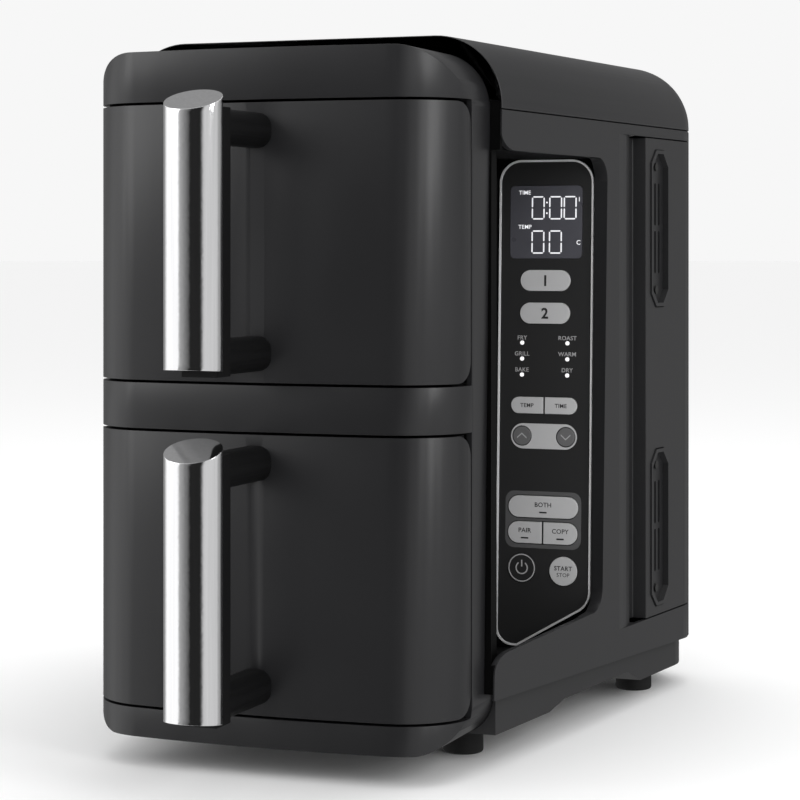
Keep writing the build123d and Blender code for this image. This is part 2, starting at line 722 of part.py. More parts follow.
# ---------------------------------------------------------------- cavities and heating
def make_cavities():
    rooms = []
    runners = []
    guards = []
    elements = []
    probes = []
    switches = []
    motors = []
    guard_y = depth(front_wrap + 1) + basket_length + guard_gap
    back_y = depth(chamber_back)
    for index, z in enumerate((lower_front_bottom, upper_front_bottom)):
        x0, x1, z0, z1 = cavity_span(z)
        gap = 0.3
        room = block(x0 + gap, x1 - gap, depth(front_wrap + 4), back_y, z0 + gap, z1 - gap)
        inside = block(x0 + gap + cavity_wall, x1 - gap - cavity_wall, depth(front_wrap), back_y - cavity_wall,
                       z0 + gap + cavity_wall, z1 - gap - cavity_wall)
        room = room - inside
        middle_x = (x0 + x1) / 2
        fan_z = fan_heights[index]
        room = room - rod_y(shaft_radius + 2, middle_x, fan_z, back_y - 20, back_y + 5)
        floor = z0 + gap + cavity_wall
        roof = z1 - gap - cavity_wall
        for side in (-1, 1):
            x = middle_x + side * (basket_width / 2 - 16)
            runners.append(block(x - runner_width / 2, x + runner_width / 2, depth(cavity_front + 10),
                                 guard_y - 4, floor, floor + runner_height))
        # fan guard: sheet with a ring of slots
        guard = block(x0 + gap + cavity_wall, x1 - gap - cavity_wall, guard_y, guard_y + 1.2, floor, roof)
        for ring, count in ((16, 8), (30, 12), (44, 18)):
            for k in range(count):
                a = math.radians(360 * k / count)
                guard = guard - rod_y(4.2, middle_x + ring * math.cos(a), fan_z + ring * math.sin(a),
                                      guard_y - 5, guard_y + 5)
        guards.append(guard)
        # heating element: ring tube with two leads through the back wall
        ring_y = guard_y + 9
        ring = Pos(middle_x, ring_y, fan_z) * Rot(X=90) * Torus(element_radius, element_tube)
        elements.append(ring)
        for side in (-1, 1):
            lead_z = fan_z + side * element_radius * 0.6
            lead_x = middle_x - element_radius * 0.8
            lead = rod_y(element_tube - 0.8, lead_x, lead_z, ring_y, back_y + 4) - ring
            elements.append(lead)
            room = room - rod_y(element_tube - 0.3, lead_x, lead_z, back_y - 10, back_y + 5)
        probe_x = middle_x + 58
        probe_z = fan_z + 42
        probe = rod_y(1.6, probe_x, probe_z, guard_y + 4, back_y + 4)
        room = room - rod_y(1.9, probe_x, probe_z, back_y - 10, back_y + 5)
        probes.append(probe + rod_y(3.2, probe_x, probe_z, back_y, back_y + 4))
        switch_x = x1 + 1.5
        switches.append(block(switch_x, switch_x + 7, depth(cavity_front) + 0.5, depth(cavity_front) + 18,
                              z + 60, z + 72))
        # motor on the bulkhead
        motor_y = back_y + bulkhead_gap
        motor = rod_y(motor_radius, middle_x, fan_z, motor_y + bulkhead_thickness,
                      motor_y + bulkhead_thickness + motor_length)
        motor = fillet(motor.faces().sort_by(Axis.Y)[-1].edges(), 4)
        motor = motor - rod_y(shaft_radius + running_clearance, middle_x, fan_z, motor_y - 5,
                              motor_y + motor_length + 10)
        motors.append(motor)
        save(("lower_cavity", "upper_cavity")[index], room)
    save("drawer_runners", runners)
    save("fan_guards", guards)
    save("heating_elements", elements)
    save("temperature_probes", probes)
    save("drawer_switches", switches)
    save("fan_motors", motors)

    # bulkhead that carries both motors
    x0, x1, z_low = cavity_span(lower_front_bottom)[:3]
    z_high = cavity_span(upper_front_bottom)[3]
    y0 = back_y + bulkhead_gap
    plate = block(x0 + 4, x1 + 30, y0, y0 + bulkhead_thickness, z_low + 8, z_high - 14)
    for fan_z in fan_heights:
        plate = plate - rod_y(shaft_radius + 6, middle_x, fan_z, y0 - 5, y0 + 10)
        for k in range(8):
            a = math.radians(45 * k)
            hole = rod_y(5, middle_x + 38 * math.cos(a), fan_z + 38 * math.sin(a), y0 - 5, y0 + 10)
            plate = plate - hole
    for z in (z_low + 10, z_high - 17):
        for x in (x0 + 14, x1 - 14):
            plate = plate + block(x - 5, x + 5, back_y, y0, z, z + 1.6)
    save("motor_bulkhead", plate)


def make_fans():
    back_y = depth(chamber_back)
    guard_y = depth(front_wrap + 1) + basket_length + guard_gap
    hub_y = guard_y + 16
    motor_end = back_y + bulkhead_gap + bulkhead_thickness + motor_length
    for name, z in zip(("lower", "upper"), fan_heights):
        x = basket_shift
        hot = rod_y(9, x, z, hub_y, hub_y + 10) + rod_y(fan_radius, x, z, hub_y + 8.8, hub_y + 10)
        for k in range(fan_blades):
            blade = block(14, fan_radius - 1, 0, 9.2, -0.7, 0.7)
            hot = hot + Pos(x, hub_y, z) * Rot(Y=360 * k / fan_blades) * Pos(0, 0, 5) * blade
        hot = hot - rod_y(shaft_radius, x, z, hub_y - 5, hub_y + 20)
        cool_y = back_y + 5
        cool = rod_y(8, x, z, cool_y, cool_y + 9) + rod_y(cooling_fan_radius, x, z, cool_y + 8, cool_y + 9)
        for k in range(12):
            blade = block(12, cooling_fan_radius - 1, 0, 8.4, -0.6, 0.6)
            cool = cool + Pos(x, cool_y, z) * Rot(Y=30 * k) * Pos(0, 0, 4) * blade
        cool = cool - rod_y(shaft_radius, x, z, cool_y - 5, cool_y + 20)
        shaft = rod_y(shaft_radius, x, z, hub_y - 3, motor_end + 4)
        save(name + "_hot_fan", hot)
        save(name + "_cooling_fan", cool)
        save(name + "_motor_shaft", shaft)


# ---------------------------------------------------------------- drawers
def make_drawer(name, z):
    # bowed front skin, open at the back
    z_top = z + drawer_front_height
    y_back = depth(front_wrap)
    beyond = depth(rim_depth)
    outer = tower_form(0, beyond) & block(-tower_width, tower_width, front_limit, y_back, z, z_top)
    hollow = extrude(Pos(0, 0, z + front_skin) * tower_face(front_skin, beyond),
                     drawer_front_height - 2 * front_skin)
    corner_form = tower_form(front_skin, beyond)
    skin = outer - (hollow & corner_form)
    corner = side_corner_cutter(z, z_top, y_back)
    skin = skin - corner
    for boss in post_heights:
        skin = skin - rod_y(2.4, 0, z + boss, front_limit, depth(20))
    save(name + "_drawer_front", skin)

    # flat backing plate inside the skin
    plate_y = y_back - 5
    backing = (hollow & corner_form) & block(-tower_width, tower_width, plate_y, plate_y + 2.5, z, z_top)
    grown = block(-tower_half + front_skin + 0.2, tower_half - front_skin - 0.2, plate_y, plate_y + 2.5,
                  z + front_skin + 0.2, z_top - front_skin - 0.2)
    backing = backing & grown
    for boss in post_heights:
        backing = backing + rod_y(4, 0, z + boss, depth(front_skin) + 0.3, plate_y + 1)
        backing = backing - rod_y(2.3, 0, z + boss, depth(front_skin) - 5, plate_y + 10)
    save(name + "_front_backing", backing)

    # basket
    x0 = basket_shift - basket_width / 2
    floor = z + cavity_above_front + 0.3 + cavity_wall + runner_height + slide_clearance
    y0 = depth(front_wrap + 1)
    box = block(x0, x0 + basket_width, y0, y0 + basket_length, floor, floor + basket_height)
    box = fillet(box.edges().filter_by(Axis.Z), basket_corner)
    box = fillet(box.faces().sort_by(Axis.Z)[0].edges(), 6)
    inner = block(x0 + basket_wall, x0 + basket_width - basket_wall, y0 + basket_wall,
                  y0 + basket_length - basket_wall, floor + basket_wall, floor + basket_height + 20)
    inner = fillet(inner.edges().filter_by(Axis.Z), basket_corner - basket_wall)
    inner = fillet(inner.faces().sort_by(Axis.Z)[0].edges(), 6 - basket_wall)
    basket = box - inner
    hanger = block(x0 + 25, x0 + basket_width - 25, plate_y + 2.5, y0 + 0.8, floor + 30, floor + basket_height - 12)
    basket = basket + (hanger - inner)
    save(name + "_basket", basket)

    # crisper plate with a pattern of round holes and two finger tabs
    gap = basket_wall + crisper_clearance
    plate_z = floor + basket_wall + crisper_rise
    plate = block(x0 + gap, x0 + basket_width - gap, y0 + gap, y0 + basket_length - gap, plate_z,
                  plate_z + crisper_thickness)
    plate = fillet(plate.edges().filter_by(Axis.Z), basket_corner - gap)
    columns = 7
    rows = 12
    pitch = 17.0
    middle = (basket_shift, y0 + basket_length / 2)
    for i in range(columns):
        for j in range(rows):
            x = middle[0] + (i - (columns - 1) / 2) * pitch
            y = middle[1] + (j - (rows - 1) / 2) * pitch
            plate = plate - rod_z(4.0, x, y, plate_z - 5, plate_z + 5)
    for side in (-1, 1):
        for end in (-1, 1):
            x = middle[0] + side * (basket_width / 2 - 22)
            y = middle[1] + end * (basket_length / 2 - 22)
            plate = plate + rod_z(3.5, x, y, plate_z - crisper_rise + 0.4, plate_z + 0.2)
    save(name + "_crisper_plate", plate)
    make_handle(name, z)


def side_corner_cutter(z0, z1, y_back):
    """Rounds the drawer front's rear corners where it wraps to the tower's sides."""
    radius = front_side_corner
    pieces = []
    for z, sign in ((z0, 1), (z1, -1)):
        square = block(-tower_width, tower_width, y_back - radius, y_back + 1, min(z, z + sign * radius) - 0.5 *
                       (sign > 0), max(z, z + sign * radius) + 0.5 * (sign < 0))
        drum = rod_x(radius, y_back - radius, z + sign * radius, -tower_width, tower_width)
        pieces.append(square - drum)
    inner = block(-tower_half + front_skin + 1, tower_half - front_skin - 1, front_limit, total_depth, 0,
                  total_height)
    return (pieces[0] + pieces[1]) - inner


def make_handle(name, z):
    """Bright oval grip on a black frame with two posts."""
    axis_y = front_limit + bar_thickness / 2
    low = z + bar_bottom
    high = low + bar_length
    oval = Ellipse(bar_width / 2, bar_thickness / 2)
    bar = extrude(Pos(0, axis_y, low) * oval, bar_length)
    slant = Box(100, 100, 100, align=(Align.CENTER, Align.CENTER, Align.MIN))
    top_cut = Pos(0, axis_y + bar_thickness / 2, high) * Rot(X=bar_slant) * slant
    bar = bar - top_cut
    bottom_cut = Pos(0, axis_y, low + 0.6) * Rot(X=-4) * Box(
        100, 100, 100, align=(Align.CENTER, Align.CENTER, Align.MAX))
    bar = bar - bottom_cut
    spine_y = axis_y + bar_thickness / 2 - 4.0
    groove_top = z + post_heights[1] + post_size / 2 - 0.3
    groove = block(-post_size / 2 - 0.2, post_size / 2 + 0.2, spine_y, 0, low - 5, groove_top)
    bar = bar - groove
    save(name + "_handle_bar", bar)

    spine = block(-post_size / 2, post_size / 2, spine_y + 0.2, spine_y + spine_thickness,
                  z + post_heights[0] - post_size / 2 + 0.5, z + post_heights[1] + post_size / 2 - 0.5)
    spine = fillet(spine.edges().filter_by(Axis.Z).sort_by(Axis.Y)[-2:], spine_corner)
    frame = spine
    for centre in post_heights:
        post = Rot(X=90) * extrude(RectangleRounded(post_size, post_size - 1, 7.5), total_depth, both=True)
        post = Pos(0, 0, z + centre) * post
        reach = block(-20, 20, spine_y + 3, depth(-0.3), z, z + drawer_front_height)
        frame = frame + (post & reach)
        screw = rod_y(2.2, 0, z + centre, depth(-8), depth(front_wrap - 6))
        frame = frame + screw
    save(name + "_handle_frame", frame)


# ---------------------------------------------------------------- electrics
def make_electrics():
    x = panel_left + 14
    y0 = depth(panel_depth + pocket_depth + 10)
    board = block(x, x + 1.6, y0, y0 + 76, 70, 300)
    parts = [
        block(x + 1.6, x + 30, y0 + 8, y0 + 40, 90, 130),
        block(x + 1.6, x + 22, y0 + 10, y0 + 40, 220, 262),
        block(x + 1.6, x + 14, y0 + 48, y0 + 66, 150, 200),
        rod_x(8, y0 + 56, 110, x + 1.6, x + 26),
        rod_x(6, y0 + 22, 160, x + 1.6, x + 20),
        rod_x(6, y0 + 22, 190, x + 1.6, x + 20),
    ]
    for piece in parts:
        board = board + piece
    save("power_board", board)

    gland = rod_y(gland_radius, gland_x, gland_height, rear_y - casing_wall - 5, rear_y - casing_wall)
    gland = gland + rod_y(gland_radius - 2.2, gland_x, gland_height, rear_y - casing_wall - 0.5, rear_y - 0.2)
    gland = gland - rod_y(gland_hole, gland_x, gland_height, rear_y - 30, rear_y + 5)
    save("cord_gland", gland)

    # flat harness from the control board to the power board
    y_pod = panel_y + pocket_depth + pod_wall + 2.4
    z = panel_middle + 60
    first = block(panel_left + 27, panel_left + 33, y_pod, y0 - 2.5, z - 2, z)
    second = block(x + 4, panel_left + 33, y0 - 4.5, y0 - 2.5, z - 2, z)
    third = block(x + 4, x + 8, y0 - 4.5, y0 + 6, z - 2, z)
    save("wiring_harness", first + second + third)


if __name__ == "__main__":
    os.makedirs("parts", exist_ok=True)
    make_casing()
    make_rear_trims()
    make_base()
    make_tower()
    make_controls()
    make_cavities()
    make_fans()
    make_drawer("upper", upper_front_bottom)
    make_drawer("lower", lower_front_bottom)
    make_electrics()
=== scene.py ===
import json
import math

import bmesh
import bpy
from mathutils import Matrix, Vector


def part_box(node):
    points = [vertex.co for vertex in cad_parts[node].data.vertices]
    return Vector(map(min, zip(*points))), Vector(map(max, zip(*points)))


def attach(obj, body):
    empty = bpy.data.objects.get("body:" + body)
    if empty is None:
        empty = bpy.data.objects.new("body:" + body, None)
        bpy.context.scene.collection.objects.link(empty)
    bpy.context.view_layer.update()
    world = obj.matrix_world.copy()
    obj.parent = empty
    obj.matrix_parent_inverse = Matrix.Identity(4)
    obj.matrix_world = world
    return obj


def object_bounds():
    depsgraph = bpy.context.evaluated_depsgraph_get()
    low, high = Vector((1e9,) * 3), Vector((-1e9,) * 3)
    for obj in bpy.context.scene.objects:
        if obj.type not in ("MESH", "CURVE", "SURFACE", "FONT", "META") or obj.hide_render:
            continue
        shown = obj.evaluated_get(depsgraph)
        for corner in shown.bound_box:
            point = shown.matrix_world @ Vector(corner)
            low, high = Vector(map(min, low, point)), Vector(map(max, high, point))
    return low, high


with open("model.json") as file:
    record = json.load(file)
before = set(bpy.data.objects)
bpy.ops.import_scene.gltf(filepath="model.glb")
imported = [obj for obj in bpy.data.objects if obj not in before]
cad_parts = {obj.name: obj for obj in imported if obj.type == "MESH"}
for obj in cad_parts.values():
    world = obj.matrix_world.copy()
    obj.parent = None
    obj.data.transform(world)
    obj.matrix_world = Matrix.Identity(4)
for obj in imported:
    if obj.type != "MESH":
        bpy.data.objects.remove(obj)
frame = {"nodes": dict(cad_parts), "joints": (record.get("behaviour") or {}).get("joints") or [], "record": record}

# Two-drawer stacked air fryer.  Metres, +Z up, drawers face -Y, controls on the +X side.
cad_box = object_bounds()
MM = 0.001
object_middle = (Vector(cad_box[0]) + Vector(cad_box[1])) / 2

# ---------------------------------------------------------------- camera
LENS = 108.0
SENSOR = 36.0
CAMERA_PLACE = (0.5136, -1.2754, 0.2740)
CAMERA_TURN = math.radians(21.119)
FRAME_RISE = -0.1935               # the view is level, so the frame itself is lowered

# ---------------------------------------------------------------- finishes
HOUSING = (0.014, 0.014, 0.0152)
HOUSING_SIDE = (0.0165, 0.0165, 0.0178)
HOUSING_REAR = (0.019, 0.019, 0.0202)
RECESS_SHADE_BLACK = (0.0022, 0.0022, 0.0022)
# near-black plastic, darkened further as painted shade for the gap round the drawers and the control recess
GRIP = (0.005, 0.005, 0.0053)
PANEL = (0.030, 0.030, 0.0305)
KEY = (0.60, 0.60, 0.605)
KEY_DARK = (0.165, 0.165, 0.167)
GROUP_GREY = (0.115, 0.115, 0.117)
PRINT_DARK = (0.030, 0.030, 0.031)
PRINT_LIGHT = (0.50, 0.50, 0.505)
PRINT_FAINT = (0.46, 0.46, 0.465)
WINDOW = (0.098, 0.098, 0.114)
RUBBER_BLACK = (0.012, 0.012, 0.012)
FAN_BLACK = (0.020, 0.020, 0.020)
COATED = (0.030, 0.030, 0.031)
BOARD_GREEN = (0.012, 0.075, 0.030)
TUBE_BROWN = (0.20, 0.19, 0.18)
SCREW_BLACK = (0.10, 0.10, 0.10)
CAN_GREY = (0.45, 0.45, 0.46)
LIT_GREY = (0.5, 0.5, 0.5)
COOL_WHITE = (0.95, 0.96, 1.0)
SILVER = (0.86, 0.86, 0.865)
STEEL = (0.60, 0.60, 0.61)
CHROME = (0.86, 0.86, 0.87)


# ---------------------------------------------------------------- material tools
def new_material(name):
    """An empty node material with its shader and the piece's own coordinates."""
    made = bpy.data.materials.new(name)
    made.use_nodes = True
    tree = made.node_tree
    shader = tree.nodes["Principled BSDF"]
    place = tree.nodes.new("ShaderNodeTexCoord")
    return made, tree, shader, place.outputs["Object"]


def noise(tree, place, scale, detail=2.0, stretch=None):
    """Procedural noise, with its grain per metre; stretch draws it out along axes."""
    node = tree.nodes.new("ShaderNodeTexNoise")
    node.inputs["Scale"].default_value = scale
    node.inputs["Detail"].default_value = detail
    if stretch:
        bend = tree.nodes.new("ShaderNodeMapping")
        bend.inputs["Scale"].default_value = stretch
        tree.links.new(place, bend.inputs["Vector"])
        place = bend.outputs["Vector"]
    tree.links.new(place, node.inputs["Vector"])
    return node.outputs["Fac"]


def between(tree, value, low, high):
    """Spread a noise value over a range of roughness."""
    node = tree.nodes.new("ShaderNodeMapRange")
    node.inputs["From Min"].default_value = 0.3
    node.inputs["From Max"].default_value = 0.7
    node.inputs["To Min"].default_value = low
    node.inputs["To Max"].default_value = high
    tree.links.new(value, node.inputs["Value"])
    return node.outputs["Result"]


def tinted(tree, value, color, spread):
    """Spread a noise value over a small range of shades around a colour."""
    node = tree.nodes.new("ShaderNodeValToRGB")
    ramp = node.color_ramp
    ramp.elements[0].position = 0.3
    ramp.elements[1].position = 0.7
    ramp.elements[0].color = [c * (1 - spread) for c in color] + [1]
    ramp.elements[1].color = [c * (1 + spread) for c in color] + [1]
    tree.links.new(value, node.inputs["Fac"])
    return node.outputs["Color"]


def rough_surface(tree, shader, value, height, strength=1.0):
    """Bump from a noise value; height is in metres."""
    node = tree.nodes.new("ShaderNodeBump")
    node.inputs["Distance"].default_value = height
    node.inputs["Strength"].default_value = strength
    tree.links.new(value, node.inputs["Height"])
    tree.links.new(node.outputs["Normal"], shader.inputs["Normal"])


def moulded(name, color, rough, grain=0.45, height=0.012, spread=0.10, gloss=0.5):
    """Moulded plastic with a spark-eroded texture; grain and height are in millimetres."""
    made, tree, shader, place = new_material(name)
    shader.inputs["Specular IOR Level"].default_value = gloss
    cloud = noise(tree, place, 9.0, 3.0)
    tree.links.new(tinted(tree, cloud, color, spread), shader.inputs["Base Color"])
    tree.links.new(between(tree, cloud, rough - 0.03, rough + 0.03), shader.inputs["Roughness"])
    fine = noise(tree, place, 1 / (grain * MM), 3.0)
    rough_surface(tree, shader, fine, height * MM)
    return made


def metal(name, color, rough, stretch, grain=1.0, height=0.002):
    """Drawn or brushed metal; stretch squeezes the grain across the brushing."""
    made, tree, shader, place = new_material(name)
    shader.inputs["Metallic"].default_value = 1.0
    lines = noise(tree, place, 1 / (grain * MM), 4.0, stretch)
    tree.links.new(tinted(tree, lines, color, 0.04), shader.inputs["Base Color"])
    tree.links.new(between(tree, lines, rough * 0.75, rough * 1.25), shader.inputs["Roughness"])
    rough_surface(tree, shader, lines, height * MM)
    return made


def glossy(name, color, rough, coat=0.0):
    """Glossy printed or painted plastic with a faint wave in its surface."""
    made, tree, shader, place = new_material(name)
    shader.inputs["Coat Weight"].default_value = coat
    shader.inputs["Coat Roughness"].default_value = 0.08
    wave = noise(tree, place, 60.0, 2.0)
    tree.links.new(tinted(tree, wave, color, 0.05), shader.inputs["Base Color"])
    tree.links.new(between(tree, wave, rough * 0.9, rough * 1.1), shader.inputs["Roughness"])
    rough_surface(tree, shader, wave, 0.02 * MM, 0.3)
    return made


def lit(name, color, strength, glow=(1.0, 1.0, 1.0)):
    """A lit lamp or segment, a little uneven as real light guides are."""
    made, tree, shader, place = new_material(name)
    shader.inputs["Roughness"].default_value = 0.35
    shader.inputs["Emission Strength"].default_value = strength
    cloud = noise(tree, place, 900.0, 2.0)
    tree.links.new(tinted(tree, cloud, color, 0.02), shader.inputs["Base Color"])
    tree.links.new(tinted(tree, cloud, glow, 0.03), shader.inputs["Emission Color"])
    return made


SATIN = moulded("satin_housing", HOUSING, 0.36)
SATIN_SIDE = moulded("satin_side_cover", HOUSING_SIDE, 0.38)
SATIN_REAR = moulded("matt_rear_housing", HOUSING_REAR, 0.42, 0.6, 0.016)
# near-black and barely reflective: black plastic with painted shade for the dark gap round the drawers and the
# control recess
BLACK_AND_RECESS_SHADE = moulded("black_plastic_with_painted_recess_shade", RECESS_SHADE_BLACK, 0.55, 0.45, 0.010, 0.10, 0.08)
GRIP_BLACK = moulded("grip_frame", GRIP, 0.48, 0.35, 0.008, 0.08, 0.22)
BASE_BLACK = moulded("base_tray", HOUSING_REAR, 0.46, 0.7, 0.020)
GRILLE_BLACK = moulded("vent_grille", HOUSING_REAR, 0.40, 0.4, 0.010)
RUBBER = moulded("foot_rubber", RUBBER_BLACK, 0.75, 0.8, 0.030, 0.15, 0.25)
PANEL_FACE = moulded("panel_overlay", PANEL, 0.33, 0.30, 0.004, 0.04)
KEY_GREY = moulded("key_cap", KEY, 0.48, 0.25, 0.004, 0.03)
KEY_DISC = moulded("arrow_key_cap", KEY_DARK, 0.45, 0.25, 0.004, 0.03)
GROUP = moulded("group_print", GROUP_GREY, 0.45, 0.25, 0.003, 0.03)
KEY_PLATE = moulded("arrow_plate", KEY, 0.45, 0.25, 0.003, 0.03)
INK_DARK = moulded("dark_print", PRINT_DARK, 0.50, 0.25, 0.002, 0.03)
INK_LIGHT = moulded("light_print", PRINT_LIGHT, 0.50, 0.25, 0.002, 0.03)
INK_FAINT = moulded("faint_print", PRINT_FAINT, 0.50, 0.25, 0.002, 0.03)
GLASS = glossy("display_window", WINDOW, 0.30, 0.3)
SEGMENT = lit("lit_segment", LIT_GREY, 0.72, COOL_WHITE)
LAMP = lit("lit_indicator", LIT_GREY, 0.85)
TRIM = moulded("panel_trim", SILVER, 0.35, 0.4, 0.003, 0.04)
BAR = metal("polished_bar", CHROME, 0.06, (1.0, 1.0, 0.02), 1.5, 0.00008)
STEEL_SHEET = metal("steel_sheet", STEEL, 0.33, (1.0, 0.05, 1.0), 0.8, 0.004)
STEEL_FAN = metal("pressed_steel", STEEL, 0.30, (1.0, 1.0, 1.0), 2.0, 0.004)
ELEMENT = metal("heating_tube", TUBE_BROWN, 0.45, (1, 1, 1), 1.5, 0.02)
SCREW = metal("screw_head", SCREW_BLACK, 0.35, (1, 1, 1), 0.8)
COAT = moulded("nonstick_coat", COATED, 0.34, 0.8, 0.010, 0.12, 0.6)
CIRCUIT = moulded("circuit_board", BOARD_GREEN, 0.40, 1.5, 0.020, 0.25)
FAN_PLASTIC = moulded("fan_plastic", FAN_BLACK, 0.45)
MOTOR = metal("motor_can", CAN_GREY, 0.38, (1.0, 0.1, 1.0), 1.0, 0.005)

NODE_FINISH = {
    "top_cover": SATIN_SIDE, "left_side_cover": SATIN_SIDE, "right_side_cover": SATIN_SIDE,
    "rear_cover": SATIN_REAR, "left_rear_trim": SATIN_REAR, "right_rear_trim": SATIN_REAR,
    "vent_grilles": GRILLE_BLACK, "vent_screws": SCREW, "cover_screws": SCREW,
    # the rim surround and control pod carry painted shade: their near-black finish darkens the gap and the recess
    "rim_surround": BLACK_AND_RECESS_SHADE, "control_pod": BLACK_AND_RECESS_SHADE, "front_bezel": SATIN,
    "upper_drawer_front": SATIN, "lower_drawer_front": SATIN,
    "upper_front_backing": GRIP_BLACK, "lower_front_backing": GRIP_BLACK,
    "upper_handle_bar": BAR, "lower_handle_bar": BAR,
    "upper_handle_frame": GRIP_BLACK, "lower_handle_frame": GRIP_BLACK,
    "base_pan": BASE_BLACK, "rubber_feet": RUBBER, "cord_gland": RUBBER,
    "control_panel": PANEL_FACE, "panel_trim": TRIM, "display_screen": GLASS,
    "indicator_lights": LAMP, "control_board": CIRCUIT, "power_board": CIRCUIT,
    "wiring_harness": FAN_PLASTIC, "drawer_switches": FAN_PLASTIC,
    "upper_basket": COAT, "lower_basket": COAT,
    "upper_crisper_plate": COAT, "lower_crisper_plate": COAT,
    "upper_cavity": STEEL_SHEET, "lower_cavity": STEEL_SHEET,
    "drawer_runners": STEEL_SHEET, "fan_guards": STEEL_SHEET, "motor_bulkhead": STEEL_SHEET,
    "heating_elements": ELEMENT, "temperature_probes": STEEL_FAN,
    "upper_hot_fan": STEEL_FAN, "lower_hot_fan": STEEL_FAN,
    "upper_motor_shaft": STEEL_FAN, "lower_motor_shaft": STEEL_FAN,
    "upper_cooling_fan": FAN_PLASTIC, "lower_cooling_fan": FAN_PLASTIC,
    "fan_motors": MOTOR,
    "key_up": KEY_DISC, "key_down": KEY_DISC, "key_power": PANEL_FACE,
}

# widths of the softened edges, in millimetres
EDGE = {
    "top_cover": 0.8, "left_side_cover": 0.7, "right_side_cover": 1.1, "rear_cover": 0.6,
    "left_rear_trim": 0.6, "right_rear_trim": 0.6, "front_bezel": 0.8, "base_pan": 1.4,
    "upper_drawer_front": 1.0, "lower_drawer_front": 1.0,
    "upper_handle_bar": 0.9, "lower_handle_bar": 0.9,
    "upper_handle_frame": 1.0, "lower_handle_frame": 1.0,
    "vent_grilles": 0.35, "panel_trim": 0.3, "rim_surround": 0.6,
}
KEY_EDGE = 0.25
SHARP = math.radians(38)
FLAT = math.radians(0.4)
WELD_GAP = 0.004                   # millimetres


def finish_nodes():
    """Give each CAD node its material, and soften the edges that show."""
    for name, node in frame["nodes"].items():
        finish = NODE_FINISH.get(name, KEY_GREY if name.startswith("key_") else SATIN)
        node.data.materials.clear()
        node.data.materials.append(finish)
        width = EDGE.get(name, KEY_EDGE if name.startswith("key_") else None)
        if width:
            soften(node, width)


def soften(piece, width):
    """Round a piece's sharp edges; width in millimetres."""
    weld = piece.modifiers.new("weld", "WELD")
    weld.merge_threshold = WELD_GAP * MM
    flat = piece.modifiers.new("flat", "DECIMATE")
    flat.decimate_type = "DISSOLVE"
    flat.angle_limit = FLAT
    edge = piece.modifiers.new("edge", "BEVEL")
    edge.width = width * MM
    edge.segments = 3
    edge.limit_method = "ANGLE"
    edge.angle_limit = SHARP
    edge.harden_normals = True
    edge.use_clamp_overlap = True


# ---------------------------------------------------------------- control panel graphics
# millimetres: print thickness, and how far the key faces and the display stand out of the panel
PRINT = 0.05
KEY_FACE = 0.5
DISPLAY_STAND = 0.16
KEY_HOLE = 0.5                     # gap from a print to a key
CAPITAL_SHARE = 0.70               # height of a capital as a share of the font size

def body_of(node):
    """The body that a CAD node rides on."""
    for body, nodes in frame["record"]["behaviour"]["bodies"].items():
        if node in nodes:
            return body
    return "root"


joint_axes = {joint["child"]: Vector(joint["axis"]) for joint in frame["joints"]}
panel_low, panel_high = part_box("control_panel")
PANEL_THICKNESS = 2.0
out = -joint_axes[body_of("key_power")].normalized()
across = Vector((1, 0, 0))
upward = out.cross(across)
panel_centre = (panel_low + panel_high) / 2 + out * (PANEL_THICKNESS * MM / 2)
panel_half = (panel_high.x - panel_low.x) / 2 / MM


def on_panel(u, v, w):
    """A point of the panel: u from its left edge, v from its middle, w out of its face, in millimetres."""
    return panel_centre + (across * (u - panel_half) + upward * v + out * w) * MM


def key_place(node):
    """Middle of a key's face as u, v on the panel."""
    low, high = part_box(node)
    there = (low + high) / 2 - panel_centre
    return there.dot(across) / MM + panel_half, there.dot(upward) / MM


def panel_matrix(u, v, w):
    """Turns a flat drawing in millimetres into its place on the panel."""
    turn = Matrix((across, upward, out)).transposed().to_4x4()
    return Matrix.Translation(on_panel(u, v, w)) @ turn @ Matrix.Scale(MM, 4)


def mesh_piece(name, mesh, finish, body):
    """A mesh piece that rides on a body."""
    piece = bpy.data.objects.new(name, mesh)
    bpy.context.scene.collection.objects.link(piece)
    mesh.materials.clear()
    mesh.materials.append(finish)
    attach(piece, body)
    return piece


def baked(curve, place):
    """A curve's or text's evaluated mesh, put in place."""
    holder = bpy.data.objects.new("holder", curve)
    bpy.context.scene.collection.objects.link(holder)
    bpy.context.view_layer.update()
    mesh = bpy.data.meshes.new_from_object(holder.evaluated_get(bpy.context.evaluated_depsgraph_get()))
    bpy.data.objects.remove(holder)
    mesh.transform(place)
    work = bmesh.new()
    work.from_mesh(mesh)
    bmesh.ops.remove_doubles(work, verts=work.verts, dist=0.0005 * MM)
    work.to_mesh(mesh)
    work.free()
    return mesh


def printed(name, outlines, u, v, w, thickness, finish, body):
    """A thin raised print: closed outlines in millimetres, holes among them."""
    curve = bpy.data.curves.new(name, "CURVE")
    curve.dimensions = "2D"
    curve.fill_mode = "BOTH"
    curve.extrude = thickness / 2
    for outline in outlines:
        spline = curve.splines.new("POLY")
        spline.points.add(len(outline) - 1)
        for point, (x, y) in zip(spline.points, outline):
            point.co = (x, y, 0, 1)
        spline.use_cyclic_u = True
    return mesh_piece(name, baked(curve, panel_matrix(u, v, w + thickness / 2)), finish, body)


def lettered(name, text, u, v, w, height, finish, body, weight=0.0, spacing=1.05):
    """A generic word or number as a thin raised print, centred on u, v; height is of a capital."""
    curve = bpy.data.curves.new(name, "FONT")
    curve.body = text
    curve.size = height / CAPITAL_SHARE
    curve.align_x = "CENTER"
    curve.space_character = spacing
    curve.offset = weight
    curve.resolution_u = 3
    curve.extrude = PRINT / 2
    place = panel_matrix(u, v, w + PRINT / 2) @ Matrix.Translation((0, -height / 2, 0))
    return mesh_piece(name, baked(curve, place), finish, body)



def disc(radius, count=48):
    """Points of a circle."""
    angles = [2 * math.pi * k / count for k in range(count)]
    return [(radius * math.cos(a), radius * math.sin(a)) for a in angles]


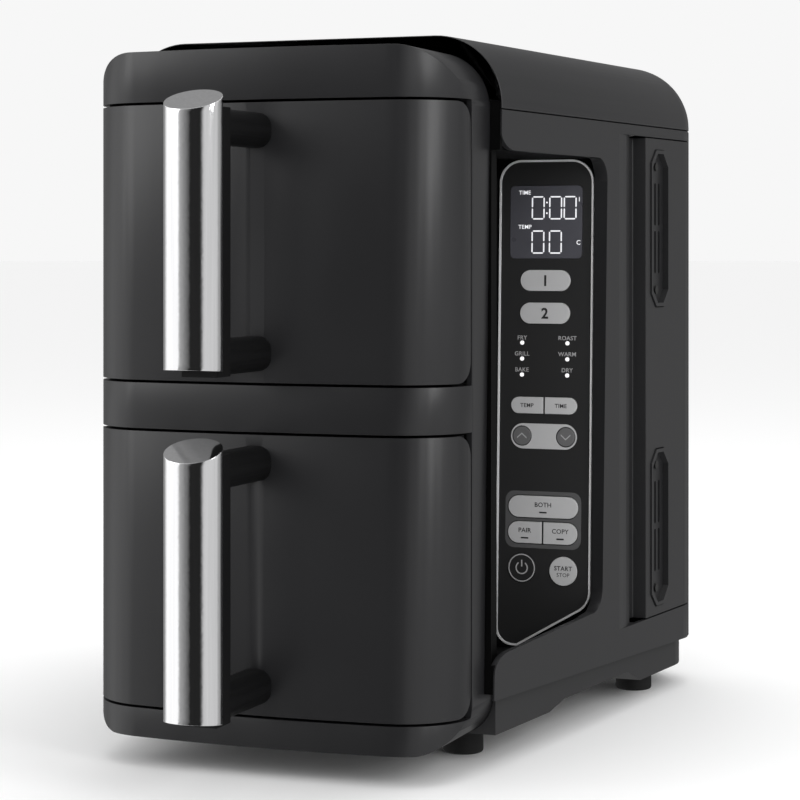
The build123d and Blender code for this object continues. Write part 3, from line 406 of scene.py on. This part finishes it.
def rounded(width, height, radius, count=10):
    """Points of a rectangle with round corners, about its middle."""
    points = []
    corners = ((1, 1, 0), (-1, 1, 90), (-1, -1, 180), (1, -1, 270))
    for sx, sy, start in corners:
        for k in range(count + 1):
            a = math.radians(start + 90 * k / count)
            points.append((sx * (width / 2 - radius) + radius * math.cos(a),
                           sy * (height / 2 - radius) + radius * math.sin(a)))
    return points


def arc_band(radius, width, start, end, count=40):
    """A band along an arc, in degrees, anticlockwise."""
    angles = [math.radians(start + (end - start) * k / count) for k in range(count + 1)]
    outer = [((radius + width / 2) * math.cos(a), (radius + width / 2) * math.sin(a)) for a in angles]
    inner = [((radius - width / 2) * math.cos(a), (radius - width / 2) * math.sin(a)) for a in angles]
    return outer + inner[::-1]


def chevron(half_width, rise, stroke):
    """An arrow head that points up, about its middle."""
    low, high = -rise / 2, rise / 2
    drop = stroke * math.hypot(half_width, rise) / half_width
    return [(-half_width, low), (0, high), (half_width, low), (half_width, low - drop),
            (0, high - drop), (-half_width, low - drop)]


def segment_shapes(width, height, stroke):
    """The seven segments of a digit as six-pointed bars, in the order a to g."""
    gap = 0.34
    half = stroke / 2
    arm = width - stroke
    leg = (height - stroke) / 2

    def bar(x, y, length, upright):
        reach = length / 2 - gap
        flat = [(-reach, 0), (-reach + half, half), (reach - half, half), (reach, 0),
                (reach - half, -half), (-reach + half, -half)]
        return [(x + (q if upright else p), y + (p if upright else q)) for p, q in flat]

    side = arm / 2
    return [bar(0, leg, arm, False), bar(side, leg / 2, leg, True), bar(side, -leg / 2, leg, True),
            bar(0, -leg, arm, False), bar(-side, -leg / 2, leg, True), bar(-side, leg / 2, leg, True),
            bar(0, 0, arm, False)]


ZERO = (0, 1, 2, 3, 4, 5)          # every segment but the middle one


def digit(name, u, v, width, height, stroke, shown):
    """A lit seven-segment digit."""
    shapes = segment_shapes(width, height, stroke)
    return printed(name, [shapes[k] for k in shown], u, v, DISPLAY_STAND, PRINT, SEGMENT, "root")


def draw_display():
    """The clock and temperature readouts with their small captions."""
    digit_width, digit_height, stroke = 7.9, 13.6, 0.8
    for index, u in enumerate((22.4, 33.0, 41.8)):
        digit(f"time_digit_{index + 1}", u, 113.3, digit_width, digit_height, stroke, ZERO)
    for index, u in enumerate((22.4, 33.0)):
        digit(f"temperature_digit_{index + 1}", u, 93.4, digit_width, digit_height, stroke, ZERO)
    dots = [rounded(1.0, 1.0, 0.3, 3), [(x, y - 6.2) for x, y in rounded(1.0, 1.0, 0.3, 3)]]
    printed("time_colon", dots, 27.7, 116.4, DISPLAY_STAND, PRINT, SEGMENT, "root")
    lettered("time_caption", "TIME", 14.2, 122.3, DISPLAY_STAND, 2.3, SEGMENT, "root", 0.03)
    lettered("temperature_caption", "TEMP", 14.4, 102.3, DISPLAY_STAND, 2.3, SEGMENT, "root",
             0.03)
    lettered("zone_readout", "1", 47.3, 118.2, DISPLAY_STAND, 2.6, SEGMENT, "root", 0.03)
    lettered("scale_readout", "C", 47.0, 93.2, DISPLAY_STAND, 2.6, SEGMENT, "root", 0.05)


def draw_keys():
    """Numbers, words and icons on the keys; each rides on its own key."""
    plain = (("key_zone_1", "1", 6.0, 0.22), ("key_zone_2", "2", 6.0, 0.22),
             ("key_temperature", "TEMP", 2.3, 0.04), ("key_time", "TIME", 2.3, 0.04))
    for node, text, height, weight in plain:
        u, v = key_place(node)
        lettered(node + "_label", text, u, v, KEY_FACE, height, INK_DARK, body_of(node), weight)
    for node, text in (("key_stack", "BOTH"), ("key_sync", "PAIR"), ("key_match", "COPY")):
        u, v = key_place(node)
        lettered(node + "_label", text, u, v + 1.3, KEY_FACE, 2.6, INK_DARK, body_of(node), 0.05)
        printed(node + "_lamp", [rounded(4.6, 0.9, 0.4, 4)], u, v - 3.2, KEY_FACE, PRINT, INK_DARK,
                body_of(node))
    u, v = key_place("key_start")
    lettered("key_start_label_upper", "START", u, v + 1.7, KEY_FACE, 2.5, INK_DARK, body_of("key_start"),
             0.06)
    lettered("key_start_label_lower", "STOP", u, v - 2.1, KEY_FACE, 2.2, INK_DARK, body_of("key_start"),
             0.01)
    u, v = key_place("key_power")
    ring = [disc(8.1), disc(7.45)]
    icon = [arc_band(3.4, 0.75, 124, 416), rounded_at(0, 2.6, 0.75, 4.0, 0.3)]
    printed("key_power_ring", ring, u, v, KEY_FACE, PRINT, INK_LIGHT, body_of("key_power"))
    printed("key_power_icon", icon, u, v, KEY_FACE, PRINT, INK_LIGHT, body_of("key_power"))
    for node, sign in (("key_up", 1), ("key_down", -1)):
        u, v = key_place(node)
        arrow = [(x, sign * y) for x, y in chevron(2.9, 2.6, 0.6)]
        printed(node + "_arrow", [arrow], u, v + sign * 0.5, KEY_FACE, PRINT, INK_LIGHT, body_of(node))


def rounded_at(x, y, width, height, radius):
    """A rounded rectangle about a given middle."""
    return [(x + p, y + q) for p, q in rounded(width, height, radius, 4)]


def hole_for(node, u, v):
    """Outline of the gap around a key, seen from a print centred on u, v."""
    low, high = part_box(node)
    key_u, key_v = key_place(node)
    width = (high.x - low.x) / MM
    height = (high.z - low.z) / MM
    width, height = width + 2 * KEY_HOLE, height + 2 * KEY_HOLE
    corner = min(width, height) / 2 - 0.01
    return [(key_u - u + x, key_v - v + y) for x, y in rounded(width, height, corner)][::-1]


def draw_plates():
    """Light plate behind the arrow keys and grey group box behind the pairing keys."""
    up_u, up_v = key_place("key_up")
    down_u, down_v = key_place("key_down")
    u, v = (up_u + down_u) / 2, (up_v + down_v) / 2
    plate = [rounded(down_u - up_u + 13.4, 14.6, 7.2)]
    holes = [hole_for("key_up", u, v), hole_for("key_down", u, v)]
    printed("arrow_key_plate", plate + holes, u, v, 0.01, 0.12, KEY_PLATE, "root")
    stack_u, stack_v = key_place("key_stack")
    v = (stack_v + key_place("key_sync")[1]) / 2
    box = [rounded(46.0, 33.0, 5.5)]
    holes = [hole_for("key_stack", stack_u, v), pair_hole(stack_u, v)]
    printed("pairing_group_box", box + holes, stack_u, v, 0.01, 0.08, GROUP, "root")


def pair_hole(u, v):
    """One gap around the two halves of the lower pill."""
    left_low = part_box("key_sync")[0]
    right_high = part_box("key_match")[1]
    low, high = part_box("key_sync")
    width = (right_high.x - left_low.x) / MM + 2 * KEY_HOLE
    height = (high.z - low.z) / MM + 2 * KEY_HOLE
    middle = ((left_low.x + right_high.x) / 2 - panel_centre.x) / MM + panel_half
    return [(middle - u + x, key_place("key_sync")[1] - v + y)
            for x, y in rounded(width, height, height / 2 - 0.01)][::-1]


def draw_modes():
    """Generic cooking words above the indicator lamps."""
    words = (("FRY", "ROAST"), ("GRILL", "WARM"), ("BAKE", "DRY"))
    for row, pair in enumerate(words):
        for u, word in zip((13.3, 40.8), pair):
            lettered("mode_" + word.lower(), word, u, 37.7 - 9.3 * row, 0.01, 2.4, INK_FAINT, "root",
                     0.04)


# ---------------------------------------------------------------- studio
def make_camera():
    """Level camera at the front right, with its frame lowered."""
    camera = bpy.data.objects.new("camera", bpy.data.cameras.new("camera"))
    camera.data.lens = LENS
    camera.data.sensor_width = SENSOR
    camera.data.shift_y = FRAME_RISE
    camera.location = CAMERA_PLACE
    camera.rotation_euler = (math.radians(90), 0, CAMERA_TURN)
    bpy.context.scene.collection.objects.link(camera)
    bpy.context.scene.camera = camera


FLOOR_SHADE = 0.97
FLOOR_RADIUS = 40.0
SKY = 0.93


def make_floor():
    """Pale matt floor that reflections don't see."""
    mesh = bpy.data.meshes.new("floor")
    work = bmesh.new()
    bmesh.ops.create_circle(work, cap_ends=True, segments=96, radius=FLOOR_RADIUS)
    work.to_mesh(mesh)
    work.free()
    floor = bpy.data.objects.new("floor", mesh)
    bpy.context.scene.collection.objects.link(floor)
    finish = bpy.data.materials.new("pale_floor")
    finish.use_nodes = True
    shader = finish.node_tree.nodes["Principled BSDF"]
    shader.inputs["Base Color"].default_value = (FLOOR_SHADE, FLOOR_SHADE, FLOOR_SHADE, 1)
    shader.inputs["Roughness"].default_value = 0.9
    shader.inputs["Specular IOR Level"].default_value = 0.0
    floor.data.materials.append(finish)
    floor.visible_glossy = False


def soft_box(name, place, target, width, height, power):
    """A rectangular studio light that faces a target; power is in watts."""
    data = bpy.data.lights.new(name, "AREA")
    data.shape = "RECTANGLE"
    data.size = width
    data.size_y = height
    data.energy = power
    lamp = bpy.data.objects.new(name, data)
    lamp.location = place
    away = Vector(target) - Vector(place)
    lamp.rotation_euler = away.to_track_quat("-Z", "Y").to_euler()
    bpy.context.scene.collection.objects.link(lamp)


# brightness of the studio's walls by compass turn in degrees: 0 in front (-Y), 90 at the right (+X)
STUDIO = ((-180, 0.30), (-112, 0.30), (-96, 0.90), (-90, 1.15), (-44, 1.15), (-37, 0.42), (-14, 0.12),
          (-8, 0.018), (20, 0.018), (24, 0.10), (33, 0.60), (40, 0.66), (100, 0.62), (118, 0.36),
          (150, 0.30), (180, 0.26))


def studio_wall(tree):
    """Brightness of the studio in each compass direction, as reflections see it."""
    place = tree.nodes.new("ShaderNodeTexCoord")
    parts = tree.nodes.new("ShaderNodeSeparateXYZ")
    forward = tree.nodes.new("ShaderNodeMath")
    forward.operation = "MULTIPLY"
    forward.inputs[1].default_value = -1.0
    turn = tree.nodes.new("ShaderNodeMath")
    turn.operation = "ARCTAN2"
    spread = tree.nodes.new("ShaderNodeMapRange")
    spread.inputs["From Min"].default_value = -math.pi
    spread.inputs["From Max"].default_value = math.pi
    ramp = tree.nodes.new("ShaderNodeValToRGB")
    while len(ramp.color_ramp.elements) < len(STUDIO):
        ramp.color_ramp.elements.new(0.5)
    for element, (degrees, shade) in zip(ramp.color_ramp.elements, STUDIO):
        element.position = 0.5 + degrees / 360
        element.color = (shade, shade, shade, 1)
    tree.links.new(place.outputs["Generated"], parts.inputs["Vector"])
    tree.links.new(parts.outputs["Y"], forward.inputs[0])
    tree.links.new(parts.outputs["X"], turn.inputs[0])
    tree.links.new(forward.outputs["Value"], turn.inputs[1])
    tree.links.new(turn.outputs["Value"], spread.inputs["Value"])
    tree.links.new(spread.outputs["Result"], ramp.inputs["Fac"])
    return ramp.outputs["Color"]


def make_world():
    """Even pale light, with a darker studio in the reflections."""
    world = bpy.data.worlds.new("studio")
    bpy.context.scene.world = world
    world.use_nodes = True
    tree = world.node_tree
    even = tree.nodes["Background"]
    even.inputs["Color"].default_value = (SKY, SKY, SKY, 1)
    mirrored = tree.nodes.new("ShaderNodeBackground")
    tree.links.new(studio_wall(tree), mirrored.inputs["Color"])
    path = tree.nodes.new("ShaderNodeLightPath")
    mix = tree.nodes.new("ShaderNodeMixShader")
    tree.links.new(path.outputs["Is Glossy Ray"], mix.inputs["Fac"])
    tree.links.new(even.outputs["Background"], mix.inputs[1])
    tree.links.new(mirrored.outputs["Background"], mix.inputs[2])
    tree.links.new(mix.outputs["Shader"], tree.nodes["World Output"].inputs["Surface"])


def make_lights():
    """One soft box at each side and one above."""
    soft_box("right_light", (1.5, -0.9, 0.9), object_middle, 0.7, 0.9, 9)
    soft_box("left_light", (-1.6, -1.3, 1.0), object_middle, 0.9, 1.2, 8)
    soft_box("top_light", (0.1, 0.3, 1.9), object_middle, 1.4, 1.4, 9)


make_camera()
make_floor()
make_world()
make_lights()
bpy.context.scene.view_settings.view_transform = "Standard"
finish_nodes()
draw_display()
draw_keys()
draw_plates()
draw_modes()
